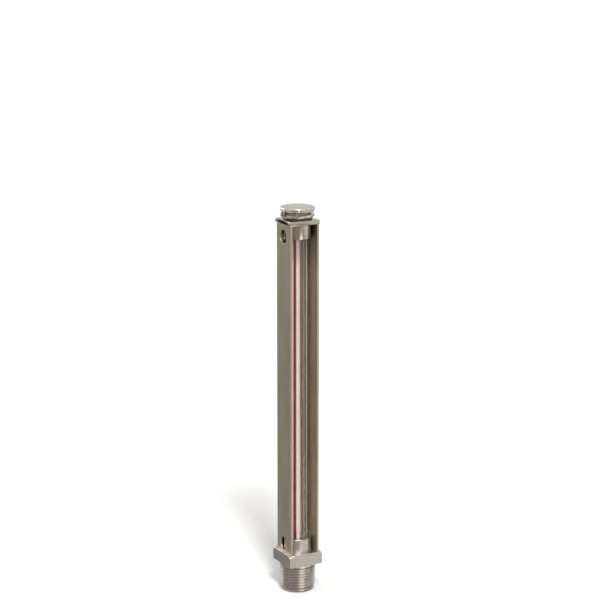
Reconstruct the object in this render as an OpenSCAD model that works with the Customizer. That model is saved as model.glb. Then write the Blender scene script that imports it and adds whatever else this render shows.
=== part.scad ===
// Vented column sight gauge, bottom mounted: a red-line gauge glass sealed between two
// nickel-plated brass end fittings, inside a folded guard channel that is open at the
// front, with a screw-in breather on the top plate.
// Origin: centre of the pipe stub's lower end face. +Z is up and the window faces -Y.

/* [Gauge glass] */
// Outside diameter of the gauge glass
tube_od = 11.5; // [10:0.1:18]
// Wall thickness of the gauge glass
tube_wall = 2.1; // [1.2:0.1:2.5]
// Chamfer that stands for the fire-polished ends of the glass
tube_end_bevel = 0.35; // [0.1:0.05:0.5]
// Arc of the white band at the back of the glass, in degrees
white_band_arc = 90; // [50:1:120]
// Arc of the red line in the middle of the white band, in degrees
red_line_arc = 30; // [10:1:45]
// How far the glass is turned round in its sockets, in degrees
glass_turn = 3; // [-30:1:30]
// Thickness of the fused white band
white_depth = 0.3; // [0.1:0.05:0.5]
// Thickness of the fused red line
red_depth = 0.15; // [0.1:0.05:0.3]

/* [Guard channel] */
// Length of the channel between the flange and the top plate
guard_length = 203.2; // [80:0.2:600]
// Sheet thickness of the channel
guard_sheet = 1.2; // [0.8:0.1:2]
// Inside radius of the two folds
fold_inner_r = 0.5; // [0.2:0.1:1]
// Diameter of the two round holes in the left leg
leg_hole_d = 8.5; // [4:0.1:12]
// Height of the lower hole above the flange
lower_hole_height = 5; // [3:0.1:20]
// Drop of the upper hole below the top plate
upper_hole_drop = 7.4; // [3:0.1:20]

/* [Base fitting] */
// Width of the flange's ledge around the channel
flange_ledge = 1.6; // [0.5:0.1:5]
// Height of the square flange
flange_height = 7.5; // [5:0.1:15]
// Radius at which the turned chamfer leaves the flange's corners at the top
flange_turn_r = 13.8; // [12:0.1:20]
// Slope of the turned corner chamfer, in degrees
flange_turn_slope = 30; // [15:1:45]
// Wall around the glass in the boss and in the plug
boss_wall = 2.4; // [1.5:0.1:4]
// Height of the boss above the flange
boss_height = 8.2; // [6:0.1:15]
// Depth of the glass's socket in the boss
lower_socket_depth = 11; // [8:0.1:15]
// Diameter of the liquid passage
port_d = 9; // [5:0.1:12]
// Countersink at the mouth of the liquid passage
port_countersink = 0.4; // [0.1:0.05:0.45]

/* [Pipe thread] */
// Length of the pipe stub below the flange
stub_length = 17.5; // [12:0.1:30]
// Major diameter of the taper thread at the stub's end
thread_end_d = 20.72; // [17:0.01:27]
// Pitch of the pipe thread
thread_pitch = 1.814; // [1:0.001:2.5]
// Depth of the pipe thread
thread_depth = 1.1; // [0.5:0.05:1.4]
// Width of the thread's crests and roots
thread_flat = 0.25; // [0.1:0.05:0.4]
// Length of plain neck between the thread and the flange
neck_length = 1.6; // [0.8:0.1:4]
// Chamfer at the stub's end
stub_chamfer = 1.7; // [0.5:0.1:2.5]

/* [Top fitting] */
// Overhang of the top plate past the channel on each side
plate_overhang = 0.3; // [0:0.1:3]
// Height of the top plate
plate_height = 2.6; // [2:0.1:6]
// Height of the plug below the plate
plug_height = 8.8; // [7:0.1:15]
// Depth of the glass's socket in the plug
upper_socket_depth = 7.4; // [6:0.1:10]
// Diameter of the breather's screw thread
vent_thread_d = 9.525; // [6:0.005:11]
// Countersink at the mouth of the breather's hole
vent_hole_countersink = 0.3; // [0.1:0.05:0.5]

/* [Breather] */
// Thickness of the breather's gasket
gasket_height = 0.9; // [0.5:0.1:2]
// Outside diameter of the gasket
gasket_d = 17.4; // [14:0.1:22]
// Outside diameter of the breather's body
vent_d = 20.4; // [18:0.1:30]
// Diameter at the foot of the body's taper
vent_foot_d = 18.2; // [15:0.1:24]
// Height of the tapered foot
vent_foot_height = 1.1; // [0.5:0.1:3]
// Height of the plain band between the foot and the air slots
vent_band_height = 1.2; // [0.5:0.1:4]
// Height of the air slots
slot_height = 1.8; // [1:0.1:4]
// Number of air slots
slot_count = 6; // [3:1:10]
// Width of the posts between the slots
post_width = 1.4; // [0.8:0.1:3]
// Height of the ring above the slots
vent_ring_height = 0.6; // [0.4:0.1:2]
// Wall around the breather's chamber
vent_wall = 2; // [1:0.1:3]
// Diameter of the air passage in the breather's stem
air_bore_d = 5.2; // [2:0.1:6]
// Height of the narrow neck under the cap
cap_neck_height = 0.5; // [0.3:0.1:2]
// Diameter of the neck under the cap
cap_neck_d = 19.2; // [17.5:0.1:28]
// Diameter of the cap
cap_d = 21.2; // [18:0.1:32]
// Height of the cap's rim
cap_height = 1.3; // [1.2:0.1:4]
// Radius of the cap's rolled edge
cap_edge_r = 1; // [0.3:0.1:1.1]
// Depth of the cap's spigot in the breather's body
cap_spigot_height = 0.5; // [0.3:0.1:0.6]

/* [Seals and filter] */
// Cross-section diameter of the two O-rings
o_ring_section = 1.2; // [0.8:0.1:1.3]
// Thickness of the cushion washers at the ends of the glass
cushion_height = 0.8; // [0.4:0.1:1.5]
// Thickness of the wire screen behind the air slots
screen_sheet = 0.15; // [0.1:0.05:0.3]
// Height of the felt filter
filter_height = 2.2; // [0.8:0.1:2.6]
// Thickness of the ring that holds the filter down
retainer_height = 0.4; // [0.2:0.1:0.6]

/* [Guard screws] */
// Thread diameter of the guard screws
screw_d = 3; // [2:0.1:4]
// Head diameter of the guard screws
screw_head_d = 5.4; // [4:0.1:7]
// Head height of the guard screws
screw_head_height = 1.9; // [1.2:0.1:3]
// Height of the lower screw above the flange
lower_screw_height = 5; // [4:0.1:7]
// Drop of the upper screw below the top plate
upper_screw_drop = 6.6; // [5.5:0.1:7]
// Thickness of the lock washers
lock_washer_height = 0.6; // [0.4:0.1:1]
// Gap in each lock washer
lock_washer_split = 0.5; // [0.3:0.1:1]

/* [Clearances] */
// Radial clearance of the glass in its sockets
tube_clearance = 0.1; // [0.05:0.01:0.3]
// Clearance of the boss and the plug in the channel
guard_clearance = 0.075; // [0.02:0.005:0.2]
// Radial clearance of the breather's stem in its thread
stem_clearance = 0.06; // [0.02:0.01:0.1]
// Gap between pieces that seat or press on each other
seat_gap = 0.02; // [0.01:0.01:0.05]
// Radial clearance of the guard screws in the channel
screw_clearance = 0.2; // [0.1:0.05:0.5]

/* [Hidden] */
$fn = 96;

// Colours of the finishes
nickel = "#b0a89c";
dull_nickel = "#958d81";
glass_tint = "#dfe8e6";
rubber_black = "#1d1c1b";
cut = 0.01; // overshoot of every cut past the face it opens

// Glass and its sockets
tube_r = tube_od / 2;
tube_bore_r = tube_r - tube_wall;
white_inner_r = tube_r - white_depth;
red_inner_r = white_inner_r - red_depth;
socket_r = tube_r + tube_clearance;
boss_r = tube_r + boss_wall + tube_clearance;
holder_bevel = 0.3; // on the rims of the boss and the plug, outside and inside
o_ring_r = o_ring_section / 2;
o_ring_centre_r = tube_r + seat_gap + o_ring_r;
groove_r = o_ring_centre_r + o_ring_r + seat_gap;
groove_room = 1.3; // height of a groove as a multiple of the O-ring's section
groove_height = o_ring_section * groove_room;
groove_margin = 0.8; // socket wall between the groove and the end of the socket

// Channel, flange and plate
guard_inner = 2 * (boss_r + guard_clearance);
guard_width = guard_inner + 2 * guard_sheet;
fold_outer_r = fold_inner_r + guard_sheet;
stub_taper = 1 / 32; // growth of the thread's radius for each unit of length
neck_r = thread_end_d / 2 + stub_length * stub_taper;
flange_land = 0.2; // least width of the flange's flats outside the neck
flange_width = max(guard_width + 2 * flange_ledge, 2 * (neck_r + flange_land));
plate_width = guard_width + 2 * plate_overhang;

// Levels, from the stub's end upwards
flange_top = stub_length + flange_height;
boss_top = flange_top + boss_height;
lower_socket_floor = boss_top - lower_socket_depth;
guard_top = flange_top + guard_length;
plate_top = guard_top + plate_height;
plug_bottom = guard_top - plug_height;
upper_socket_roof = plug_bottom + upper_socket_depth;
glass_bottom = lower_socket_floor + cushion_height + seat_gap;
glass_top = upper_socket_roof - cushion_height - seat_gap;
lower_groove_z = glass_bottom + groove_margin;
upper_groove_z = glass_top - groove_margin - groove_height;

// Breather
vent_hole_r = vent_thread_d / 2;
stem_r = vent_hole_r - stem_clearance;
stem_end_gap = 0.2; // the stem stops this far short of the end of its hole
gasket_bottom = plate_top + seat_gap;
vent_bottom = gasket_bottom + gasket_height + seat_gap;
stem_bottom = upper_socket_roof + stem_end_gap;
slot_bottom = vent_bottom + vent_foot_height + vent_band_height;
slot_top = slot_bottom + slot_height;
vent_top = slot_top + vent_ring_height;
chamber_r = vent_d / 2 - vent_wall;
chamber_floor = vent_bottom + vent_foot_height;
cap_bottom = vent_top + seat_gap;
cap_rim_bottom = cap_bottom + cap_neck_height;
post_turn = -30; // one post stands at the front left
screen_r = chamber_r - seat_gap;
filter_r = screen_r - screen_sheet - seat_gap;
retainer_hole_share = 0.6; // hole of the retainer as a share of the filter's radius

// Guard screws
tap_r = screw_d / 2;
shank_r = tap_r - seat_gap;
screw_levels = [flange_top + lower_screw_height, guard_top - upper_screw_drop];
web_face = guard_width / 2;
head_seat = web_face + lock_washer_height + 2 * seat_gap;
screw_tip = boss_r - boss_wall + seat_gap;
washer_clearance = 0.1; // between a lock washer and its screw, and inside the head's rim
lock_washer_r = screw_head_d / 2 - washer_clearance;
head_round_r = screw_head_height * 0.45; // rounding of the pan head
recess_span = screw_head_d * 0.6; // length of the cross recess's arms, tip to tip
recess_width = 0.75; // width of the arms
recess_depth = 1.1;

// A ring or disc by its radii and its levels
module ring(inner_r, outer_r, bottom, top) {
    difference() {
        translate([0, 0, bottom]) cylinder(r = outer_r, h = top - bottom);
        translate([0, 0, bottom - cut]) cylinder(r = inner_r, h = top - bottom + 2 * cut);
    }
}

// A sector of a tube, centred on the back of the glass and turned with it
module back_sector(inner_r, outer_r, arc, bottom, top) {
    reach = 2 * outer_r / cos(arc / 2); // the wedge's tip-to-corner length, past the sector
    translate([0, 0, bottom])
        linear_extrude(top - bottom)
            rotate(-glass_turn)
                intersection() {
                    difference() {
                        circle(r = outer_r);
                        circle(r = inner_r);
                    }
                    polygon([[0, 0], [reach * sin(arc / 2), reach * cos(arc / 2)],
                             [-reach * sin(arc / 2), reach * cos(arc / 2)]]);
                }
}

// A countersink or bevel cut at a level, widening upwards (grow 1) or downwards (grow -1)
module bevel_cut(r, size, level, grow) {
    low_r = grow > 0 ? r : r + size;
    high_r = grow > 0 ? r + size : r;
    translate([0, 0, grow > 0 ? level - size : level])
        cylinder(r1 = low_r, r2 = high_r, h = size);
}

// Outline of the threaded stub: taper ridges from the end up, then the plain neck
function crest_r(z) = thread_end_d / 2 + z * stub_taper;
thread_turns = floor((stub_length - neck_length) / thread_pitch);
thread_start = stub_length - neck_length - thread_turns * thread_pitch;
thread_outline = [
    for (turn = [0 : thread_turns - 1])
        let (z = thread_start + turn * thread_pitch, half = thread_pitch / 2)
            each [
                [crest_r(z), z + thread_flat / 2],
                [crest_r(z) - thread_depth, z + half - thread_flat / 2],
                [crest_r(z) - thread_depth, z + half + thread_flat / 2],
                [crest_r(z + thread_pitch), z + thread_pitch - thread_flat / 2]
            ]
];

module threaded_stub() {
    end_r = crest_r(0) - stub_chamfer;
    intersection() {
        rotate_extrude()
            polygon(concat([[0, 0], [crest_r(0), 0]], thread_outline,
                           [[neck_r, stub_length - neck_length + thread_flat],
                            [neck_r, stub_length + cut], [0, stub_length + cut]]));
        rotate_extrude()
            polygon([[0, 0], [end_r, 0], [end_r + 2 * stub_chamfer, 2 * stub_chamfer],
                     [end_r + 2 * stub_chamfer, stub_length + cut], [0, stub_length + cut]]);
    }
}

// Square flange whose top corners are turned down at a slope
module flange_block() {
    corner_r = flange_width; // safely outside the corners
    drop = (corner_r - flange_turn_r) * tan(flange_turn_slope);
    intersection() {
        translate([-flange_width / 2, -flange_width / 2, stub_length])
            cube([flange_width, flange_width, flange_height]);
        union() {
            translate([0, 0, flange_top - drop])
                cylinder(r1 = corner_r, r2 = flange_turn_r, h = drop);
            translate([0, 0, stub_length - cut])
                cylinder(r = corner_r, h = flange_height - drop + 2 * cut);
        }
    }
}

// Round spigot for the glass, with a bevelled rim
module glass_holder(bottom, top, rim_up) {
    straight = top - bottom - holder_bevel;
    rim_r = boss_r - holder_bevel;
    translate([0, 0, rim_up ? bottom : bottom + holder_bevel])
        cylinder(r = boss_r, h = straight);
    translate([0, 0, rim_up ? bottom + straight : bottom])
        cylinder(r1 = rim_up ? boss_r : rim_r, r2 = rim_up ? rim_r : boss_r, h = holder_bevel);
}

// Hole for a guard screw, from the socket out through the back of a holder
module tap_hole(level) {
    translate([0, tube_bore_r, level])
        rotate([-90, 0, 0]) cylinder(r = tap_r, h = boss_r);
}

module base_fitting() {
    color(nickel)
    difference() {
        union() {
            threaded_stub();
            flange_block();
            glass_holder(flange_top - cut, boss_top, true);
        }
        translate([0, 0, -cut]) cylinder(d = port_d, h = boss_top);
        bevel_cut(port_d / 2, port_countersink, 0, -1);
        translate([0, 0, lower_socket_floor]) cylinder(r = socket_r, h = lower_socket_depth + cut);
        bevel_cut(socket_r, holder_bevel, boss_top, 1);
        ring(socket_r - cut, groove_r, lower_groove_z, lower_groove_z + groove_height);
        tap_hole(screw_levels[0]);
    }
}

module guard_channel() {
    color(dull_nickel)
    difference() {
        translate([0, 0, flange_top + seat_gap])
            linear_extrude(guard_length - 2 * seat_gap) channel_section();
        for (level = [flange_top + lower_hole_height, guard_top - upper_hole_drop])
            translate([-guard_width, 0, level])
                rotate([0, 90, 0]) cylinder(d = leg_hole_d, h = guard_width);
        for (level = screw_levels)
            translate([0, guard_inner / 2 - cut, level])
                rotate([-90, 0, 0]) cylinder(r = tap_r + screw_clearance, h = guard_sheet + 2 * cut);
    }
}

// Square U with two round folds at the back
module channel_section() {
    difference() {
        folded_outline(guard_width, fold_outer_r);
        folded_outline(guard_inner, fold_inner_r);
        translate([-guard_inner / 2, -guard_width]) square([guard_inner, guard_width]);
    }
}

// Square outline with its two back corners rounded
module folded_outline(width, corner_r) {
    half = width / 2;
    union() {
        translate([-half, -half]) square([width, width - corner_r]);
        translate([-half + corner_r, 0]) square([width - 2 * corner_r, half]);
        for (side = [-1, 1])
            translate([side * (half - corner_r), half - corner_r]) circle(r = corner_r);
    }
}

module gauge_glass() {
    color(glass_tint)
    difference() {
        rotate_extrude()
            polygon([[tube_bore_r + tube_end_bevel, glass_bottom],
                     [tube_r - tube_end_bevel, glass_bottom],
                     [tube_r, glass_bottom + tube_end_bevel],
                     [tube_r, glass_top - tube_end_bevel],
                     [tube_r - tube_end_bevel, glass_top],
                     [tube_bore_r + tube_end_bevel, glass_top],
                     [tube_bore_r, glass_top - tube_end_bevel],
                     [tube_bore_r, glass_bottom + tube_end_bevel]]);
        back_sector(white_inner_r, tube_r + 1, white_band_arc,
                    glass_bottom + 2 * tube_end_bevel, glass_top - 2 * tube_end_bevel);
        back_sector(red_inner_r, tube_r + 1, red_line_arc,
                    glass_bottom + 2 * tube_end_bevel, glass_top - 2 * tube_end_bevel);
    }
}

module white_band() {
    color("white")
    back_sector(white_inner_r, tube_r, white_band_arc,
                glass_bottom + 2 * tube_end_bevel, glass_top - 2 * tube_end_bevel);
}

module red_line() {
    color("crimson")
    back_sector(red_inner_r, white_inner_r, red_line_arc,
                glass_bottom + 2 * tube_end_bevel, glass_top - 2 * tube_end_bevel);
}

module o_ring(groove_z) {
    color(rubber_black)
    translate([0, 0, groove_z + groove_height / 2])
        rotate_extrude() translate([o_ring_centre_r, 0]) circle(r = o_ring_r, $fn = 32);
}

module lower_o_ring() {
    o_ring(lower_groove_z);
}

module upper_o_ring() {
    o_ring(upper_groove_z);
}

module cushion(bottom) {
    color(rubber_black)
    ring(port_d / 2, tube_r - seat_gap, bottom, bottom + cushion_height);
}

module lower_cushion() {
    cushion(lower_socket_floor);
}

module upper_cushion() {
    cushion(upper_socket_roof - cushion_height);
}

module top_fitting() {
    color(nickel)
    difference() {
        union() {
            translate([-plate_width / 2, -plate_width / 2, guard_top])
                cube([plate_width, plate_width, plate_height]);
            glass_holder(plug_bottom, guard_top + cut, false);
        }
        translate([0, 0, plug_bottom - cut]) cylinder(r = socket_r, h = upper_socket_depth + cut);
        bevel_cut(socket_r, holder_bevel, plug_bottom, -1);
        ring(socket_r - cut, groove_r, upper_groove_z, upper_groove_z + groove_height);
        translate([0, 0, plug_bottom]) cylinder(r = vent_hole_r, h = plug_height + plate_height + cut);
        bevel_cut(vent_hole_r, vent_hole_countersink, plate_top, 1);
        tap_hole(screw_levels[1]);
    }
}

// Pan-head screw along +Y, its tip towards the glass
module guard_screw() {
    head_r = screw_head_d / 2;
    round_level = screw_head_height - head_round_r;
    rotate([-90, 0, 0])
    difference() {
        union() {
            translate([0, 0, screw_tip]) cylinder(r = shank_r, h = head_seat - screw_tip + cut);
            translate([0, 0, head_seat])
                rotate_extrude() {
                    square([head_r - head_round_r, screw_head_height]);
                    square([head_r, round_level]);
                    translate([head_r - head_round_r, round_level])
                        circle(r = head_round_r, $fn = 32);
                }
        }
        for (turn = [45, 135])
            rotate([0, 0, turn])
                translate([-recess_span / 2, -recess_width / 2,
                           head_seat + screw_head_height - recess_depth])
                    cube([recess_span, recess_width, recess_depth + cut]);
    }
}

module guard_screws() {
    color(nickel)
    for (level = screw_levels)
        translate([0, 0, level]) guard_screw();
}

module lock_washers() {
    color(dull_nickel)
    for (level = screw_levels)
        translate([0, 0, level])
            rotate([-90, 0, 0])
                difference() {
                    ring(tap_r + washer_clearance, lock_washer_r, web_face + seat_gap,
                         web_face + seat_gap + lock_washer_height);
                    translate([0, -lock_washer_split / 2, web_face])
                        cube([screw_head_d, lock_washer_split, 2 * lock_washer_height]);
                }
}

module vent_gasket() {
    color(rubber_black)
    ring(vent_hole_r, gasket_d / 2, gasket_bottom, gasket_bottom + gasket_height);
}

module vent_body() {
    color(nickel)
    difference() {
        union() {
            translate([0, 0, stem_bottom]) cylinder(r = stem_r, h = vent_bottom - stem_bottom + cut);
            translate([0, 0, vent_bottom])
                cylinder(d1 = vent_foot_d, d2 = vent_d, h = vent_foot_height);
            translate([0, 0, vent_bottom + vent_foot_height])
                cylinder(d = vent_d, h = vent_top - vent_bottom - vent_foot_height);
        }
        translate([0, 0, stem_bottom - cut]) cylinder(d = air_bore_d, h = vent_top);
        translate([0, 0, chamber_floor]) cylinder(r = chamber_r, h = vent_top);
        difference() {
            ring(chamber_r - 1, vent_d, slot_bottom, slot_top);
            for (turn = [0 : slot_count - 1])
                rotate([0, 0, post_turn + turn * 360 / slot_count])
                    translate([-post_width / 2, -vent_d, slot_bottom - 1])
                        cube([post_width, vent_d, slot_height + 2]);
        }
    }
}

module vent_cap() {
    color(nickel)
    union() {
        translate([0, 0, cap_bottom - cap_spigot_height])
            cylinder(r = chamber_r - seat_gap, h = cap_spigot_height + cut);
        translate([0, 0, cap_bottom]) cylinder(d = cap_neck_d, h = cap_neck_height + cut);
        translate([0, 0, cap_rim_bottom])
            rotate_extrude()
                intersection() {
                    square([cap_d / 2, cap_height]);
                    union() {
                        square([cap_d / 2 - cap_edge_r, cap_height]);
                        square([cap_d / 2, cap_height - cap_edge_r]);
                        translate([cap_d / 2 - cap_edge_r, cap_height - cap_edge_r])
                            circle(r = cap_edge_r, $fn = 48);
                    }
                }
    }
}

module vent_screen() {
    color("gray")
    ring(screen_r - screen_sheet, screen_r, chamber_floor + seat_gap, slot_top);
}

module vent_filter() {
    color("wheat")
    translate([0, 0, chamber_floor + seat_gap]) cylinder(r = filter_r, h = filter_height);
}

module filter_retainer() {
    color(dull_nickel)
    ring(filter_r * retainer_hole_share, filter_r, chamber_floor + filter_height + 2 * seat_gap,
         chamber_floor + filter_height + 2 * seat_gap + retainer_height);
}

base_fitting();
guard_channel();
gauge_glass();
white_band();
red_line();
lower_o_ring();
lower_cushion();
top_fitting();
upper_o_ring();
upper_cushion();
guard_screws();
lock_washers();
vent_gasket();
vent_body();
vent_cap();
vent_filter();
vent_screen();
filter_retainer();
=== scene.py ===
"""Vented column sight gauge: shapes and finishes of every piece, modelled round the CAD frame."""

import math
from functools import partial

import bmesh
import bpy
from bpy.props import FloatProperty, FloatVectorProperty, IntProperty, PointerProperty
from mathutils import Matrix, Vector


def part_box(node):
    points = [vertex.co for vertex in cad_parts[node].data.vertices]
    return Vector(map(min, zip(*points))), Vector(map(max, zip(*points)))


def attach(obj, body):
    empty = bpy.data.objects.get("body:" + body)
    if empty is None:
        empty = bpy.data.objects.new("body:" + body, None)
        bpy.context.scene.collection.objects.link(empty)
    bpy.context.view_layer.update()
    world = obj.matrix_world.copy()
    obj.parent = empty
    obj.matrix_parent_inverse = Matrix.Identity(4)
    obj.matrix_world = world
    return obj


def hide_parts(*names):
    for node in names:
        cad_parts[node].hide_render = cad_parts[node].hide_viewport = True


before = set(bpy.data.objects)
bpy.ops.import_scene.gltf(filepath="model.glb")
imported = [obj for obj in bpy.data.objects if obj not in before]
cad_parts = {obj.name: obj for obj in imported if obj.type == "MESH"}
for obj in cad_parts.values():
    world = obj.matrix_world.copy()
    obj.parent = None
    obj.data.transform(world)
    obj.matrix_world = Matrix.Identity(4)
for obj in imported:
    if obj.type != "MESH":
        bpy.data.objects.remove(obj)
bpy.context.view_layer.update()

bl_info = {
    "name": "Column Sight Gauge",
    "version": (1, 0, 0),
    "blender": (4, 5, 0),
    "location": "View3D > Sidebar > Sight Gauge",
    "description": "Builds a vented column sight gauge around its CAD frame",
    "category": "Object",
}

MM = 0.001
FULL_TURN = math.tau
TURNED_STEPS = 144  # facets round a turned piece
SMALL_STEPS = 64  # facets round a screw or a washer
ROUND_STEPS = 4  # facets across a rounded corner
SMOOTH_ANGLE = math.radians(38)
WELD = 0.001 * MM  # points closer than this are one point
PAST = 0.5 * MM  # how far a cutting tool reaches past the face it opens
OVERLAP = 1 * MM  # how far pieces that are joined, and ring-shaped cutters, reach past each other
FOLD_STEPS = 10  # facets round a fold of the guard channel
O_RING_STEPS = 24  # facets round an O-ring's section
FLOOR_SIZE = 30  # metres of studio paper, so that its edges are far out of sight
PAPER_BRIGHTNESS = 1.1  # the background that the camera sees past the floor
ROOM_TINT = (1, 0.985, 0.96, 1)  # the room's light is a little warm


def linear(hex_colour):
    """An sRGB hex colour as the three linear values that a shader works in."""
    channels = [int(hex_colour[i:i + 2], 16) / 255 for i in (1, 3, 5)]
    return [c / 12.92 if c <= 0.04045 else ((c + 0.055) / 1.055) ** 2.4 for c in channels]


def length(name, millimetres, text):
    """A length property, given in millimetres and kept in metres."""
    return FloatProperty(name=name, description=text, default=millimetres * MM,
                         subtype="DISTANCE", unit="LENGTH", precision=5)


def angle(name, degrees, text):
    """An angle property, given in degrees and kept in radians."""
    return FloatProperty(name=name, description=text, default=math.radians(degrees),
                         subtype="ANGLE", unit="ROTATION")


def colour(name, hex_colour, text):
    """A colour property, given as an sRGB hex value."""
    return FloatVectorProperty(name=name, description=text, default=linear(hex_colour),
                               subtype="COLOR", size=3, min=0, max=1)


class GaugeSizes(bpy.types.PropertyGroup):
    """Sizes of the column: the base fitting, the glass, the guard and the top fitting."""

    seat_gap: length("Seat gap", 0.02, "Gap between pieces that seat on each other")
    stub_length: length("Stub length", 17.5, "Length of the threaded pipe stub")
    stub_chamfer: length("Stub chamfer", 1.7, "Chamfer at the lower end of the stub")
    thread_radius: length("Thread radius", 10.36, "Crest radius of the pipe thread at the stub's end")
    thread_pitch: length("Thread pitch", 1.814, "Pitch of the pipe thread, 14 turns to the inch")
    thread_depth: length("Thread depth", 1.1, "Depth of the pipe thread")
    thread_flat: length("Thread flat", 0.25, "Width of the thread's crests and roots")
    thread_slope: FloatProperty(name="Thread slope", default=1 / 32, precision=5,
                                description="Growth of the pipe thread's radius with height")
    neck_length: length("Neck length", 1.6, "Plain neck between the thread and the flange")
    corner_turn_radius: length("Corner turn radius", 13.8, "Where the flange's corners turn down")
    corner_turn_slope: angle("Corner turn slope", 30, "Slope of the flange's turned corners")
    edge_break: length("Edge break", 0.18, "Rounding of the machined edges")
    boss_radius: length("Boss radius", 8.25, "Outside radius of the boss and of the plug")
    boss_rim: length("Boss rim", 0.3, "Rounding of the rims of the boss and the plug")
    socket_radius: length("Socket radius", 5.85, "Radius of the sockets that hold the glass")
    groove_radius: length("Groove radius", 6.99, "Radius of the O-ring grooves in the sockets")
    groove_height: length("Groove height", 1.56, "Height of the O-ring grooves")
    port_radius: length("Port radius", 4.5, "Radius of the liquid passage")
    port_countersink: length("Port countersink", 0.4, "Countersink at the liquid passage's mouth")
    sheet: length("Guard sheet", 1.2, "Sheet thickness of the guard channel")
    fold_radius: length("Fold radius", 1.7, "Outside radius of the channel's two folds")
    sheet_edge: length("Sheet edge", 0.15, "Rounding of the channel's sheared edges")
    leg_hole_radius: length("Leg hole radius", 4.25, "Radius of the holes in the left leg")
    lower_hole_height: length("Lower hole height", 5, "Lower leg hole above the flange")
    upper_hole_drop: length("Upper hole drop", 7.4, "Upper leg hole below the top plate")
    web_hole_radius: length("Web hole radius", 1.7, "Radius of the guard's screw holes")
    tap_radius: length("Tap radius", 1.5, "Radius of the tapped holes for the guard screws")
    glass_wall: length("Glass wall", 2.1, "Wall thickness of the gauge glass")
    fire_polish: length("Fire polish", 0.35, "Rounding of the glass's melted end edges")
    white_inner_radius: length("White inner radius", 5.45, "Inner radius of the white band")
    red_inner_radius: length("Red inner radius", 5.3, "Inner radius of the red line")
    enamel_cover: length("Enamel cover", 0.02, "Clear glass that covers the white band")
    white_arc: angle("White arc", 90, "Arc of the white band")
    red_arc: angle("Red arc", 30, "Arc of the red line")
    glass_turn: angle("Glass turn", 3, "How far the glass is turned in its sockets")


class BreatherSizes(bpy.types.PropertyGroup):
    """Sizes of the breather, its gasket, its filter and the guard screws."""

    hole_radius: length("Hole radius", 4.7625, "Radius of the breather's hole in the top plate")
    stem_radius: length("Stem radius", 4.7, "Crest radius of the stem's screw thread")
    stem_depth: length("Stem thread depth", 0.62, "Depth of the stem's screw thread")
    stem_pitch: length("Stem pitch", 1.0583, "Pitch of the stem's thread, 24 turns to the inch")
    air_radius: length("Air radius", 2.6, "Radius of the air passage in the stem")
    foot_radius: length("Foot radius", 9.1, "Radius at the foot of the breather's taper")
    foot_height: length("Foot height", 1.1, "Height of the tapered foot")
    band_height: length("Band height", 1.2, "Plain band between the foot and the air slots")
    slot_height: length("Slot height", 1.8, "Height of the air slots")
    slot_count: IntProperty(name="Slots", default=6, min=3, description="Number of air slots")
    post_width: length("Post width", 1.4, "Width of the posts between the air slots")
    post_turn: angle("Post turn", -30, "Turn of the first post from the front")
    chamber_radius: length("Chamber radius", 8.2, "Radius of the breather's chamber")
    turned_edge: length("Turned edge", 0.2, "Rounding of the breather's turned edges")
    cap_neck_radius: length("Cap neck radius", 9.6, "Radius of the neck under the cap")
    cap_neck_height: length("Cap neck height", 0.5, "Height of the neck under the cap")
    cap_spigot: length("Cap spigot", 0.5, "Depth of the cap's spigot in the chamber")
    cap_edge: length("Cap edge", 1, "Radius of the cap's rolled edge")
    retainer_hole: length("Retainer hole", 4.806, "Radius of the hole in the filter's retainer")
    wire: length("Screen wire", 0.11, "Thickness of the screen's wires")
    screw_pitch: length("Screw pitch", 0.5, "Pitch of the guard screws")
    screw_depth: length("Screw thread depth", 0.3, "Depth of the guard screws' thread")
    screw_radius: length("Screw radius", 1.48, "Crest radius of the guard screws")
    screw_head_height: length("Screw head height", 1.9, "Height of the pan heads")
    recess_span: length("Recess span", 3.24, "Length of the cross recess's arms, tip to tip")
    recess_width: length("Recess width", 0.75, "Width of the cross recess's arms")
    recess_depth: length("Recess depth", 1.1, "Depth of the cross recess")
    washer_hole: length("Washer hole", 1.6, "Radius of the lock washers' hole")
    washer_split: length("Washer split", 0.5, "Gap in each lock washer")


class GaugeFinish(bpy.types.PropertyGroup):
    """Colours of the finishes."""

    satin_nickel: colour("Satin nickel", "#D5CEC6", "Nickel plate on turned brass")
    dull_nickel: colour("Dull nickel", "#C4B9AB", "Nickel plate on the folded sheet")
    stained_nickel: colour("Stained nickel", "#B4AB96", "Olive cast of the dull plate in places")
    bright_nickel: colour("Bright nickel", "#D3CCC4", "Bright nickel plate of the breather")
    aged_nickel: colour("Aged nickel", "#C2B9A9", "Yellowed bright nickel of the top fitting")
    glass: colour("Glass", "#FCFCFA", "Clear drawn glass")
    white_enamel: colour("White enamel", "#C8B6AE", "Fired white enamel")
    red_enamel: colour("Red enamel", "#660A18", "Fired red enamel")
    rubber: colour("Rubber", "#1B1A19", "Black nitrile rubber")
    steel: colour("Plated steel", "#CFCBC4", "Bright plate on the guard screws")
    felt: colour("Felt", "#B5A88F", "Pressed wool felt")
    wire: colour("Wire", "#8C7458", "Phosphor bronze wire cloth")
    floor: colour("Floor", "#CCCCCA", "Pale studio floor")


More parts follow.
